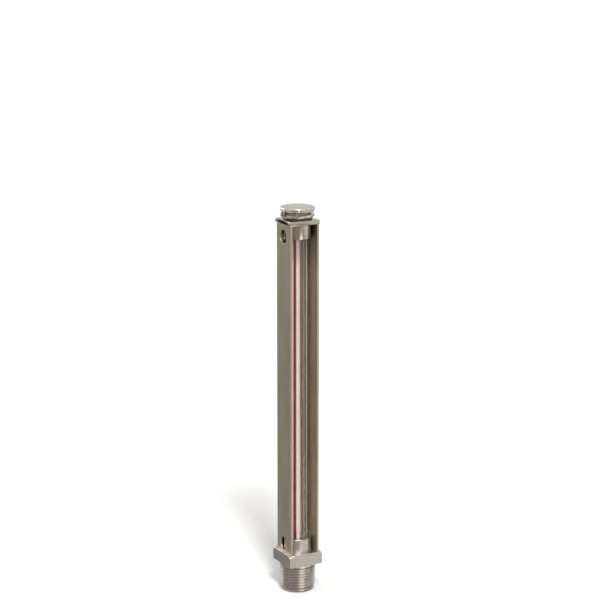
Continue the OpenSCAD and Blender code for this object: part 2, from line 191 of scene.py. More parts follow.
class GaugeStudio(bpy.types.PropertyGroup):
    """Camera and light."""

    lens: FloatProperty(name="Lens", default=118.45, subtype="DISTANCE_CAMERA", unit="CAMERA",
                        description="Focal length of the camera")
    camera_turn: angle("Camera turn", -27.96, "Turn of the camera round the gauge from its front")
    camera_pitch: angle("Camera pitch", 12.54, "How far the camera looks down")
    camera_distance: length("Camera distance", 1150, "Level distance from the column to the camera")
    camera_height: length("Camera height", 437.26, "Height of the camera")
    camera_side: length("Camera side", 1.52, "Sideways offset of the camera")
    sun_turn: angle("Sun turn", -17.5, "Direction that the key light comes from, from the front")
    sun_height: angle("Sun height", 50, "Height of the key light above the horizon")
    sun_size: angle("Sun size", 10, "Apparent size of the key light, which softens the shadow")
    sun_strength: FloatProperty(name="Sun strength", default=2.75, min=0,
                                description="Strength of the key light")
    fill_height: angle("Fill height", 16, "Height of the fill light above the horizon")
    fill_size: angle("Fill size", 35, "Apparent size of the fill light")
    fill_strength: FloatProperty(name="Fill strength", default=1.7, min=0,
                                 description="Strength of the low fill light on matt surfaces")
    ceiling: FloatProperty(name="Ceiling brightness", default=0.85, min=0,
                           description="Brightness of the room overhead")
    room_floor: FloatProperty(name="Low brightness", default=0.42, min=0,
                              description="Brightness of the room low down, as the metal sees it")


def sizes():
    """The column's sizes, as set in the panel."""
    return bpy.context.scene.gauge_sizes


def breather():
    """The breather's and the screws' sizes, as set in the panel."""
    return bpy.context.scene.gauge_breather


def finish():
    """The finishes' colours, as set in the panel."""
    return bpy.context.scene.gauge_finish


# ---------------------------------------------------------------- modelling by hand

def clear_selection():
    """Leaves edit mode with nothing selected, so that an operator acts on the new piece alone."""
    if bpy.context.mode != "OBJECT":
        bpy.ops.object.mode_set(mode="OBJECT")
    bpy.ops.object.select_all(action="DESELECT")


def take(piece):
    """Makes one piece the only one selected."""
    clear_selection()
    piece.select_set(True)
    bpy.context.view_layer.objects.active = piece


def settle(piece, turn=(0, 0, 0), move=(0, 0, 0)):
    """Turns and moves a piece, then puts its place in its mesh."""
    take(piece)
    piece.rotation_euler = turn
    piece.location = piece.location + Vector(move)
    bpy.ops.object.transform_apply(location=True, rotation=True, scale=True)
    return piece


def copied(piece, name):
    """A copy of a piece with its own mesh."""
    take(piece)
    bpy.ops.object.duplicate(linked=False)
    twin = bpy.context.object
    twin.name = name
    return twin


def choose(piece, test, kind="VERT"):
    """In edit mode, selects the vertices, edges or faces whose middle passes a test."""
    bpy.ops.mesh.select_mode(type=kind)
    bpy.ops.mesh.select_all(action="DESELECT")
    form = bmesh.from_edit_mesh(piece.data)
    if kind == "VERT":
        for point in form.verts:
            point.select_set(test(point.co))
    else:
        for part in form.edges if kind == "EDGE" else form.faces:
            middle = sum((v.co for v in part.verts), Vector()) / len(part.verts)
            part.select_set(test(middle))
    form.select_flush_mode()
    bmesh.update_edit_mesh(piece.data)


def outline(name, points):
    """A wire outline in the XZ plane, drawn by extruding one point from place to place.

    Each point is (radius, height) or (radius, height, rounding)."""
    clear_selection()
    bpy.ops.mesh.primitive_plane_add(size=MM, location=(points[0][0], 0, points[0][1]))
    piece = bpy.context.object
    piece.name = name
    bpy.ops.object.transform_apply(location=True, rotation=True, scale=True)
    bpy.ops.object.mode_set(mode="EDIT")
    bpy.ops.mesh.select_mode(type="VERT")
    bpy.ops.mesh.select_all(action="SELECT")
    bpy.ops.mesh.merge(type="CENTER")
    for start, end in zip(points, points[1:]):
        step = (end[0] - start[0], 0, end[1] - start[1])
        bpy.ops.mesh.extrude_vertices_move(TRANSFORM_OT_translate={"value": step})
    bpy.ops.mesh.select_all(action="SELECT")
    bpy.ops.mesh.remove_doubles(threshold=WELD)
    for rounding in sorted({p[2] for p in points if len(p) > 2}):
        corners = [Vector((p[0], 0, p[1])) for p in points if p[2:] == (rounding,)]
        choose(piece, lambda co: any((co - c).length < WELD for c in corners))
        bpy.ops.mesh.bevel(offset=rounding, segments=ROUND_STEPS, affect="VERTICES",
                           clamp_overlap=False)
    return piece


def close_shape(piece):
    """Merges doubled points, turns every face outwards and shades the curved faces smooth."""
    bpy.ops.mesh.select_all(action="SELECT")
    bpy.ops.mesh.remove_doubles(threshold=WELD)
    bpy.ops.mesh.normals_make_consistent(inside=False)
    smooth(piece)
    return piece


def smooth(piece):
    """Shades a piece's curved faces smooth and leaves its edges sharp."""
    take(piece)
    bpy.ops.object.shade_smooth_by_angle(angle=SMOOTH_ANGLE)


def turned(name, points, steps=TURNED_STEPS):
    """A lathe-turned piece: its outline, spun once round the Z axis."""
    piece = outline(name, points)
    bpy.ops.mesh.select_all(action="SELECT")
    bpy.ops.mesh.spin(steps=steps, angle=FULL_TURN, center=(0, 0, 0), axis=(0, 0, 1))
    return close_shape(piece)


def turned_ring(name, inner, outer, bottom, top, rounding, steps=TURNED_STEPS):
    """A ring with rounded edges."""
    corners = [(inner, bottom), (outer, bottom), (outer, top), (inner, top)]
    rounded = [(r, z, rounding) for r, z in corners]
    return turned(name, rounded + [corners[0]], steps)


def sector(name, inner, outer, bottom, top, arc, middle, steps):
    """A piece of a ring that spans an arc about a middle direction, measured from +X."""
    corners = [(inner, bottom), (outer, bottom), (outer, top), (inner, top)]
    piece = outline(name, corners + [corners[0]])
    bpy.ops.mesh.select_all(action="SELECT")
    bpy.ops.mesh.edge_face_add()
    bpy.ops.mesh.spin(steps=steps, angle=arc, center=(0, 0, 0), axis=(0, 0, 1))
    close_shape(piece)
    return settle(piece, turn=(0, 0, middle + arc / 2))


def thread_ridge(name, crest, depth, pitch, flat, bottom, turns, slope=0.0, steps=96):
    """The ridge of a right-hand screw thread, whose foot is sunk in the core that it joins."""
    root = crest - depth
    sunk = root - depth / 3
    foot = (pitch - flat) / 2
    tip = flat / 2
    half = [(sunk, foot), (root, foot), (crest, tip)]
    section = [(r, bottom - z) for r, z in half] + [(r, bottom + z) for r, z in reversed(half)]
    piece = outline(name, section + [section[0]])
    bpy.ops.object.mode_set(mode="OBJECT")
    helix = piece.modifiers.new("Helix", "SCREW")
    helix.axis = "Z"
    helix.angle = FULL_TURN
    helix.screw_offset = pitch
    helix.iterations = turns
    helix.steps = steps
    helix.render_steps = steps
    bpy.ops.object.modifier_apply(modifier=helix.name)
    bpy.ops.object.mode_set(mode="EDIT")
    bpy.ops.mesh.select_all(action="SELECT")
    bpy.ops.mesh.fill_holes(sides=0)
    close_shape(piece)
    if slope:
        taper = piece.modifiers.new("Taper", "SIMPLE_DEFORM")
        taper.deform_method = "TAPER"
        taper.deform_axis = "Z"
        taper.factor = piece.dimensions.z * slope / crest
        bpy.ops.object.modifier_apply(modifier=taper.name)
    return piece


def block(name, low, high):
    """A block between two corners."""
    clear_selection()
    low, high = Vector(low), Vector(high)
    bpy.ops.mesh.primitive_cube_add(size=1, location=(low + high) / 2)
    piece = bpy.context.object
    piece.name = name
    piece.scale = high - low
    return settle(piece)


def drill(radius, start, end, steps=SMALL_STEPS):
    """A round cutting tool from one point to another."""
    clear_selection()
    start, end = Vector(start), Vector(end)
    bpy.ops.mesh.primitive_cylinder_add(vertices=steps, radius=radius, depth=(end - start).length)
    tool = bpy.context.object
    turn = (end - start).to_track_quat("Z", "Y").to_euler()
    return settle(tool, turn=turn, move=(start + end) / 2)


def combine(piece, tool, operation):
    """Joins a tool to a piece (UNION), cuts it away (DIFFERENCE) or keeps the overlap (INTERSECT).

    The tool is used up."""
    take(piece)
    work = piece.modifiers.new(operation.title(), "BOOLEAN")
    work.operation = operation
    work.solver = "EXACT"
    work.object = tool
    bpy.ops.object.modifier_apply(modifier=work.name)
    bpy.data.objects.remove(tool)
    smooth(piece)
    return piece


def soften(piece, width, segments=3):
    """Breaks the sharp edges of a piece with a small rounding."""
    take(piece)
    edge = piece.modifiers.new("Edges", "BEVEL")
    edge.width = width
    edge.segments = segments
    edge.limit_method = "ANGLE"
    edge.angle_limit = SMOOTH_ANGLE
    bpy.ops.object.modifier_apply(modifier=edge.name)
    smooth(piece)
    return piece


# ---------------------------------------------------------------- materials

def add(tree, kind, settings=None, links=None):
    """Adds a node, sets its options and inputs, and links its inputs to other nodes' outputs."""
    node = tree.nodes.new(kind)
    for key, value in (settings or {}).items():
        if isinstance(key, str) and hasattr(node, key):
            setattr(node, key, value)
        else:
            node.inputs[key].default_value = value
    for key, source in (links or {}).items():
        tree.links.new(source, node.inputs[key])
    return node


def blank(name):
    """A new material with only a principled shader and its output."""
    material = bpy.data.materials.new(name)
    material.use_nodes = True
    tree = material.node_tree
    return material, tree, tree.nodes["Principled BSDF"]


def opaque(shade):
    """A colour with full opacity, as a colour input takes it."""
    return (*shade, 1)


def round_coordinates(tree):
    """(distance from the column's axis, 0, height): a pattern on it runs round like tool marks."""
    place = add(tree, "ShaderNodeTexCoord").outputs["Object"]
    split = add(tree, "ShaderNodeSeparateXYZ", links={0: place})
    level = {"X": split.outputs["X"], "Y": split.outputs["Y"]}
    flat = add(tree, "ShaderNodeCombineXYZ", links=level).outputs[0]
    radius = add(tree, "ShaderNodeVectorMath", {"operation": "LENGTH"}, {0: flat}).outputs["Value"]
    turned_place = {"X": radius, "Z": split.outputs["Z"]}
    return add(tree, "ShaderNodeCombineXYZ", links=turned_place).outputs[0]


def fine_marks(tree, coordinates, spacing, detail=3.0):
    """Noise whose features are about one spacing wide."""
    settings = {"Scale": 1 / spacing, "Detail": detail, "Roughness": 0.6}
    return add(tree, "ShaderNodeTexNoise", settings, {"Vector": coordinates}).outputs["Fac"]


def spread(tree, value, low, high):
    """Spreads a noise value between two limits."""
    settings = {"From Min": 0.3, "From Max": 0.7, "To Min": low, "To Max": high}
    return add(tree, "ShaderNodeMapRange", settings, {"Value": value}).outputs["Result"]


def relief(tree, value, depth, strength):
    """A bump of a real depth from a pattern."""
    return add(tree, "ShaderNodeBump", {"Distance": depth, "Strength": strength},
               {"Height": value}).outputs["Normal"]


def between(tree, value, first, second):
    """A colour between two, by a pattern."""
    mix = add(tree, "ShaderNodeMix", {"data_type": "RGBA"}, {"Factor": value})
    mix.inputs["A"].default_value = opaque(first)
    mix.inputs["B"].default_value = opaque(second)
    for socket in mix.outputs:
        if socket.type == "RGBA":
            return socket


def painted_crevice_shade(tree, reach):
    """0 in the open and 1 deep in a corner or a thread's root: the mask of painted shade, from
    ambient occlusion.
    """
    settings = {"Distance": reach, "samples": 8}
    open_air = add(tree, "ShaderNodeAmbientOcclusion", settings).outputs["AO"]
    settings = {"From Min": 0.25, "From Max": 0.7, "To Min": 1, "To Max": 0}
    return add(tree, "ShaderNodeMapRange", settings, {"Value": open_air}).outputs["Result"]


def satin_nickel_on_turned_brass():
    """Satin nickel plate over turning marks: a soft warm grey with fine rings in its highlights, and
    painted shade that darkens its corners and thread roots.

    Real feed marks are 0.1 mm apart; they are drawn at 0.35 mm so that they show."""
    material, tree, shader = blank("satin_nickel_on_turned_brass")
    rings = fine_marks(tree, round_coordinates(tree), 0.35 * MM)
    place = add(tree, "ShaderNodeTexCoord").outputs["Object"]
    cloud = fine_marks(tree, place, 6 * MM, 2)
    warm = [c * 0.86 for c in finish().satin_nickel]
    tint = between(tree, spread(tree, cloud, 0, 1), finish().satin_nickel, warm)
    # painted shade: the colour is darkened to 0.55 of itself in corners and thread roots, by ambient
    # occlusion
    crevice_shaded = add(tree, "ShaderNodeMix", {"data_type": "RGBA", "blend_type": "MIX"},
                {"Factor": painted_crevice_shade(tree, 0.9 * MM), "A": tint})
    crevice_shaded.inputs["B"].default_value = opaque([c * 0.55 for c in finish().satin_nickel])
    tree.links.new(crevice_shaded.outputs["Result"], shader.inputs["Base Color"])
    tree.links.new(spread(tree, rings, 0.24, 0.36), shader.inputs["Roughness"])
    tree.links.new(relief(tree, rings, 0.02 * MM, 0.35), shader.inputs["Normal"])
    shader.inputs["Metallic"].default_value = 1
    return material


def bright_nickel_on_turned_brass():
    """Bright nickel plate on a finely turned face: near-mirror sides that go black and white."""
    material, tree, shader = blank("bright_nickel_on_turned_brass")
    rings = fine_marks(tree, round_coordinates(tree), 0.3 * MM)
    tree.links.new(spread(tree, rings, 0.1, 0.17), shader.inputs["Roughness"])
    tree.links.new(relief(tree, rings, 0.005 * MM, 0.1), shader.inputs["Normal"])
    shader.inputs["Base Color"].default_value = opaque(finish().bright_nickel)
    shader.inputs["Metallic"].default_value = 1
    return material


def aged_nickel_on_machined_brass():
    """Bright nickel gone a little yellow over fly-cut faces: calm near-mirror sides.

    Fine parallel cutter marks are drawn 0.3 mm apart, across the depth of the plate."""
    material, tree, shader = blank("aged_nickel_on_machined_brass")
    place = add(tree, "ShaderNodeTexCoord").outputs["Object"]
    along = add(tree, "ShaderNodeMapping", {"Scale": (0.02, 1, 1)}, {"Vector": place}).outputs[0]
    marks = fine_marks(tree, along, 0.3 * MM)
    cloud = fine_marks(tree, place, 5 * MM, 2)
    darker = [c * 0.85 for c in finish().aged_nickel]
    tint = between(tree, spread(tree, cloud, 0, 1), finish().aged_nickel, darker)
    tree.links.new(tint, shader.inputs["Base Color"])
    tree.links.new(spread(tree, marks, 0.1, 0.2), shader.inputs["Roughness"])
    tree.links.new(relief(tree, marks, 0.004 * MM, 0.1), shader.inputs["Normal"])
    shader.inputs["Metallic"].default_value = 1
    return material


def dull_nickel_on_folded_sheet():
    """Dull nickel on rolled sheet: upright mill grain, faint stains, a broad grey sheen.

    The mill grain is about 0.1 mm wide; it is drawn 0.4 mm wide and 12 mm long so that it shows."""
    material, tree, shader = blank("dull_nickel_on_folded_sheet")
    place = add(tree, "ShaderNodeTexCoord").outputs["Object"]
    along = add(tree, "ShaderNodeMapping", {"Scale": (1, 1, 0.4 / 12)}, {"Vector": place})
    grain = fine_marks(tree, along.outputs[0], 0.4 * MM)
    stretched = add(tree, "ShaderNodeMapping", {"Scale": (1, 1, 0.22)}, {"Vector": place})
    stain = fine_marks(tree, stretched.outputs[0], 9 * MM, 2)
    tint = between(tree, spread(tree, stain, 0, 1), finish().dull_nickel, finish().stained_nickel)
    tree.links.new(tint, shader.inputs["Base Color"])
    tree.links.new(spread(tree, grain, 0.34, 0.46), shader.inputs["Roughness"])
    tree.links.new(relief(tree, grain, 0.015 * MM, 0.3), shader.inputs["Normal"])
    shader.inputs["Metallic"].default_value = 1
    return material


def clear_drawn_glass():
    """Soda-lime tube, drawn: clear, with draw lines that ripple its reflections very slightly.

    Shadow and diffuse rays pass straight through, so that the lights reach the enamel in it."""
    material, tree, shader = blank("clear_drawn_glass")
    place = add(tree, "ShaderNodeTexCoord").outputs["Object"]
    along = add(tree, "ShaderNodeMapping", {"Scale": (1, 1, 0.02)}, {"Vector": place}).outputs[0]
    ripple = fine_marks(tree, along, 2 * MM, 1)
    tree.links.new(relief(tree, ripple, 0.001 * MM, 0.05), shader.inputs["Normal"])
    shader.inputs["Base Color"].default_value = opaque(finish().glass)
    shader.inputs["Roughness"].default_value = 0
    shader.inputs["Transmission Weight"].default_value = 1
    shader.inputs["IOR"].default_value = 1.47
    path = add(tree, "ShaderNodeLightPath")
    lit = add(tree, "ShaderNodeMath", {"operation": "MAXIMUM"},
              {0: path.outputs["Is Shadow Ray"], 1: path.outputs["Is Diffuse Ray"]})
    through = add(tree, "ShaderNodeBsdfTransparent", {"Color": (0.96, 0.96, 0.96, 1)})
    both = add(tree, "ShaderNodeMixShader",
               links={0: lit.outputs[0], 1: shader.outputs[0], 2: through.outputs[0]})
    tree.links.new(both.outputs[0], tree.nodes["Material Output"].inputs["Surface"])
    return material


def fired_enamel(name, shade, patch):
    """Enamel fused into the glass: an even, glossy colour with faint orange peel and clouding."""
    material, tree, shader = blank(name)
    place = add(tree, "ShaderNodeTexCoord").outputs["Object"]
    cloud = fine_marks(tree, place, patch, 2)
    tint = between(tree, spread(tree, cloud, 0, 1), shade, [c * 0.9 for c in shade])
    peel = fine_marks(tree, place, 0.6 * MM, 1)
    tree.links.new(tint, shader.inputs["Base Color"])
    tree.links.new(relief(tree, peel, 0.01 * MM, 0.2), shader.inputs["Normal"])
    shader.inputs["Roughness"].default_value = 0.25
    shader.inputs["Specular IOR Level"].default_value = 0.05
    return material


def white_enamel():
    """Milk-white enamel, a little warm, that brightens the red line laid on it."""
    return fired_enamel("fired_white_enamel", finish().white_enamel, 8 * MM)


def red_enamel():
    """Deep red enamel, which the liquid's curved surface widens into the reading."""
    return fired_enamel("fired_red_enamel", finish().red_enamel, 5 * MM)


def nitrile_rubber():
    """Moulded black nitrile rubber: matt, with a talc-grey bloom and a fine moulded grain."""
    material, tree, shader = blank("nitrile_rubber")
    place = add(tree, "ShaderNodeTexCoord").outputs["Object"]
    bloom = spread(tree, fine_marks(tree, place, 1.5 * MM), 0, 1)
    grain = fine_marks(tree, place, 0.2 * MM)
    dusty = [c + 0.02 for c in finish().rubber]
    tree.links.new(between(tree, bloom, finish().rubber, dusty), shader.inputs["Base Color"])
    tree.links.new(spread(tree, grain, 0.5, 0.7), shader.inputs["Roughness"])
    tree.links.new(relief(tree, grain, 0.03 * MM, 0.4), shader.inputs["Normal"])
    return material


def bright_plated_steel():
    """Cold-headed steel with bright plate: clean highlights broken by faint handling marks."""
    material, tree, shader = blank("bright_plated_steel")
    place = add(tree, "ShaderNodeTexCoord").outputs["Object"]
    marks = fine_marks(tree, place, 0.5 * MM)
    tree.links.new(spread(tree, marks, 0.16, 0.28), shader.inputs["Roughness"])
    tree.links.new(relief(tree, marks, 0.01 * MM, 0.2), shader.inputs["Normal"])
    shader.inputs["Base Color"].default_value = opaque(finish().steel)
    shader.inputs["Metallic"].default_value = 1
    return material


def pressed_wool_felt():
    """Pressed wool felt: matt and fibrous, with a soft sheen. Fibres are drawn 0.15 mm wide."""
    material, tree, shader = blank("pressed_wool_felt")
    place = add(tree, "ShaderNodeTexCoord").outputs["Object"]
    fibres = fine_marks(tree, place, 0.15 * MM, 5)
    dark = [c * 0.6 for c in finish().felt]
    tint = between(tree, spread(tree, fibres, 0, 1), dark, finish().felt)
    tree.links.new(tint, shader.inputs["Base Color"])
    tree.links.new(relief(tree, fibres, 0.1 * MM, 0.8), shader.inputs["Normal"])
    shader.inputs["Roughness"].default_value = 0.95
    shader.inputs["Sheen Weight"].default_value = 0.3
    return material


def bronze_wire():
    """Phosphor bronze wire, darkened in use: brown-gold glints between dark openings."""
    material, tree, shader = blank("bronze_wire")
    place = add(tree, "ShaderNodeTexCoord").outputs["Object"]
    tarnish = spread(tree, fine_marks(tree, place, 0.8 * MM), 0, 1)
    dark = [c * 0.45 for c in finish().wire]
    tree.links.new(between(tree, tarnish, finish().wire, dark), shader.inputs["Base Color"])
    tree.links.new(spread(tree, tarnish, 0.3, 0.5), shader.inputs["Roughness"])
    shader.inputs["Metallic"].default_value = 1
    return material


def studio_paper():
    """Seamless studio paper: plain, matt and pale, with the faintest tooth."""
    material, tree, shader = blank("studio_paper")
    place = add(tree, "ShaderNodeTexCoord").outputs["Object"]
    tooth = fine_marks(tree, place, 1 * MM)
    tree.links.new(relief(tree, tooth, 0.02 * MM, 0.1), shader.inputs["Normal"])
    shader.inputs["Base Color"].default_value = opaque(finish().floor)
    shader.inputs["Roughness"].default_value = 0.9
    shader.inputs["Specular IOR Level"].default_value = 0
    return material


MADE = {}


def made(material_function):
    """One shared material for each finish."""
    name = material_function.__name__
    if name not in MADE:
        MADE[name] = material_function()
    return MADE[name]


def hand_over(piece, body, node, material_function):
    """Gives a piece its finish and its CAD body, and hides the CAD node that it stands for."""
    settle(piece)
    piece.data.materials.clear()
    piece.data.materials.append(made(material_function))
    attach(piece, body)
    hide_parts(node)


# ---------------------------------------------------------------- pieces

def levels(node):
    """The lowest and highest height of a CAD node."""
    low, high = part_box(node)
    return low.z, high.z


def outer_radius(node):
    """Half the width of a CAD node that is centred on the column's axis."""
    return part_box(node)[1].x


def flange_top():
    """The flange's top face, which the guard channel stands on."""
    return levels("guard_channel")[0] - sizes().seat_gap


def plate_bottom():
    """The top plate's lower face, which the guard channel reaches up to."""
    return levels("guard_channel")[1] + sizes().seat_gap


def screw_levels():
    """Heights of the lower and upper guard screws."""
    low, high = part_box("guard_screws")
    return low.z + high.x, high.z - high.x


def groove_span(o_ring):
    """The lower and upper face of an O-ring's groove."""
    low, high = levels(o_ring)
    middle = (low + high) / 2
    return middle - sizes().groove_height / 2, middle + sizes().groove_height / 2


class GAUGE_OT_base_fitting(bpy.types.Operator):
    """Turn the base fitting: taper pipe thread, square flange, boss and glass socket"""

    bl_idname = "gauge.base_fitting"
    bl_label = "Base Fitting"

    def flange(self, s):
        """The square flange, with its top corners turned down at a slope."""
        half = outer_radius("base_fitting")
        top = flange_top()
        flange = block("flange", (-half, -half, s.stub_length), (half, half, top))
        reach = 2 * half
        drop = (reach - s.corner_turn_radius) * math.tan(s.corner_turn_slope)
        corners = turned("corners", [(0, s.stub_length - PAST), (reach, s.stub_length - PAST),
                                     (reach, top - drop), (s.corner_turn_radius, top), (0, top)])
        combine(flange, corners, "INTERSECT")
        return soften(flange, s.edge_break)

    def thread(self, s):
        """The taper thread's ridge, cut off by the chamfer at the stub's end."""
        turns = math.ceil(s.stub_length / s.thread_pitch)
        neck = s.stub_length - s.neck_length
        run_out = 0.6  # of a turn, where the thread fades into the neck
        bottom = neck - (turns - run_out) * s.thread_pitch
        ridge = thread_ridge("thread", s.thread_radius, s.thread_depth, s.thread_pitch,
                             s.thread_flat, bottom, turns, s.thread_slope)
        end_radius = s.thread_radius - s.stub_chamfer
        reach = 3 * s.stub_chamfer
        limit = turned("limit", [(0, 0), (end_radius, 0), (end_radius + reach, reach),
                                 (end_radius + reach, s.stub_length), (0, s.stub_length)])
        return combine(ridge, limit, "INTERSECT")

    def execute(self, context):
        s = sizes()
        boss_top = levels("base_fitting")[1]
        end_radius = s.thread_radius - s.stub_chamfer
        root = s.thread_radius - s.thread_depth
        neck = s.stub_length - s.neck_length
        neck_radius = s.thread_radius + s.stub_length * s.thread_slope
        inside = s.stub_length + OVERLAP
        base = turned("base_fitting_turned", [
            (0, 0), (end_radius, 0), (root, root - end_radius),
            (root + neck * s.thread_slope, neck - s.thread_flat),
            (neck_radius, neck + s.thread_flat), (neck_radius, inside),
            (s.boss_radius, inside), (s.boss_radius, boss_top, s.boss_rim), (0, boss_top)])
        combine(base, self.thread(s), "UNION")
        combine(base, self.flange(s), "UNION")
        floor = levels("lower_cushion")[0]
        low, high = groove_span("lower_o_ring")
        bore = turned("bore", [
            (0, -PAST), (s.port_radius + s.port_countersink + PAST, -PAST),
            (s.port_radius, s.port_countersink), (s.port_radius, floor), (s.socket_radius, floor),
            (s.socket_radius, low), (s.groove_radius, low), (s.groove_radius, high),
            (s.socket_radius, high), (s.socket_radius, boss_top - s.boss_rim),
            (s.socket_radius + s.boss_rim + PAST, boss_top + PAST), (0, boss_top + PAST)])
        combine(base, bore, "DIFFERENCE")
        level = screw_levels()[0]
        tap = drill(s.tap_radius, (0, s.port_radius, level), (0, s.boss_radius + PAST, level))
        combine(base, tap, "DIFFERENCE")
        hand_over(base, "column", "base_fitting",
                  satin_nickel_on_turned_brass)
        return {"FINISHED"}


class GAUGE_OT_top_fitting(bpy.types.Operator):
    """Make the square top plate with the turned plug that holds the glass"""

    bl_idname = "gauge.top_fitting"
    bl_label = "Top Fitting"

    def execute(self, context):
        s = sizes()
        plug_bottom, plate_top = levels("top_fitting")
        half = outer_radius("top_fitting")
        plate = block("top_fitting_turned", (-half, -half, plate_bottom()),
                      (half, half, plate_top))
        soften(plate, s.edge_break)
        inside = plate_bottom() + OVERLAP
        plug = turned("plug", [(0, plug_bottom), (s.boss_radius, plug_bottom, s.boss_rim),
                               (s.boss_radius, inside), (0, inside)])
        combine(plate, plug, "UNION")
        roof = levels("upper_cushion")[1]
        low, high = groove_span("upper_o_ring")
        hole = breather().hole_radius
        bore = turned("bore", [
            (0, plug_bottom - PAST), (s.socket_radius + s.boss_rim + PAST, plug_bottom - PAST),
            (s.socket_radius, plug_bottom + s.boss_rim), (s.socket_radius, low),
            (s.groove_radius, low), (s.groove_radius, high), (s.socket_radius, high),
            (s.socket_radius, roof), (hole, roof), (hole, plate_top - s.boss_rim),
            (hole + s.boss_rim + PAST, plate_top + PAST), (0, plate_top + PAST)])
        combine(plate, bore, "DIFFERENCE")
        level = screw_levels()[1]
        tap = drill(s.tap_radius, (0, s.port_radius, level), (0, s.boss_radius + PAST, level))
        combine(plate, tap, "DIFFERENCE")
        hand_over(plate, "column", "top_fitting",
                  aged_nickel_on_machined_brass)
        return {"FINISHED"}


class GAUGE_OT_guard_channel(bpy.types.Operator):
    """Fold the guard channel from sheet and punch its holes"""

    bl_idname = "gauge.guard_channel"
    bl_label = "Guard Channel"

    def execute(self, context):
        s = sizes()
        low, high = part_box("guard_channel")
        guard = block("guard_channel_folded", low, high)
        middle = (low + high) / 2
        bpy.ops.object.mode_set(mode="EDIT")
        choose(guard, lambda co: abs(co.x - middle.x) > WELD and co.y > high.y - WELD
               and abs(co.z - middle.z) < WELD, "EDGE")
        bpy.ops.mesh.bevel(offset=s.fold_radius, segments=FOLD_STEPS, affect="EDGES")
        half_height = (high.z - low.z) / 2
        choose(guard, lambda co: co.y < low.y + WELD
               or abs(co.z - middle.z) > half_height - WELD, "FACE")
        bpy.ops.mesh.delete(type="FACE")
        bpy.ops.object.mode_set(mode="OBJECT")
        wall = guard.modifiers.new("Sheet", "SOLIDIFY")
        wall.thickness = s.sheet
        wall.offset = -1
        wall.use_even_offset = True
        bpy.ops.object.modifier_apply(modifier=wall.name)
        holes = (flange_top() + s.lower_hole_height, plate_bottom() - s.upper_hole_drop)
        for level in holes:
            tool = drill(s.leg_hole_radius, (low.x - PAST, 0, level), (0, 0, level), TURNED_STEPS)
            combine(guard, tool, "DIFFERENCE")
        for level in screw_levels():
            tool = drill(s.web_hole_radius, (0, 0, level), (0, high.y + PAST, level))
            combine(guard, tool, "DIFFERENCE")
        soften(guard, s.sheet_edge)
        hand_over(guard, "column", "guard_channel",
                  dull_nickel_on_folded_sheet)
        return {"FINISHED"}


class GAUGE_OT_gauge_glass(bpy.types.Operator):
    """Draw the gauge glass and fuse the white band and the red line into its back wall"""

    bl_idname = "gauge.gauge_glass"
    bl_label = "Gauge Glass"

    def execute(self, context):
        s = sizes()
        bottom, top = levels("gauge_glass")
        radius = outer_radius("gauge_glass")
        bore = radius - s.glass_wall
        glass = turned_ring("gauge_glass_tube", bore, radius, bottom, top, s.fire_polish)
        hand_over(glass, "column", "gauge_glass", clear_drawn_glass)
        middle = math.radians(90) - s.glass_turn
        low, high = levels("white_band")
        white = sector("white_band_fused", s.white_inner_radius, radius - s.enamel_cover, low, high,
                       s.white_arc, middle, 32)
        hand_over(white, "column", "white_band", white_enamel)
        low, high = levels("red_line")
        red = sector("red_line_fused", s.red_inner_radius, s.white_inner_radius, low, high,
                     s.red_arc, middle, 16)
        hand_over(red, "column", "red_line", red_enamel)
        return {"FINISHED"}


class GAUGE_OT_seals(bpy.types.Operator):
    """Mould the two O-rings, the two cushion washers and the breather's gasket"""

    bl_idname = "gauge.seals"
    bl_label = "Seals"

    def o_ring(self, node):
        """A ring with a round section."""
        low, high = levels(node)
        section = (high - low) / 2
        centre = outer_radius(node) - section
        middle = (low + high) / 2
        turns = [FULL_TURN * i / O_RING_STEPS for i in range(O_RING_STEPS + 1)]
        points = [(centre + section * math.cos(a), middle + section * math.sin(a)) for a in turns]
        return turned(node + "_moulded", points)

    def execute(self, context):
        s = sizes()
        edge = 0.12 * MM
        for node in ("lower_o_ring", "upper_o_ring"):
            hand_over(self.o_ring(node), "column", node, nitrile_rubber)
        for node in ("lower_cushion", "upper_cushion"):
            washer = turned_ring(node + "_cut", s.port_radius, outer_radius(node),
                                 *levels(node), edge)
            hand_over(washer, "column", node, nitrile_rubber)
        gasket = turned_ring("vent_gasket_cut", breather().hole_radius, outer_radius("vent_gasket"),
                             *levels("vent_gasket"), edge)
        hand_over(gasket, "breather_seal", "vent_gasket", nitrile_rubber)
        return {"FINISHED"}


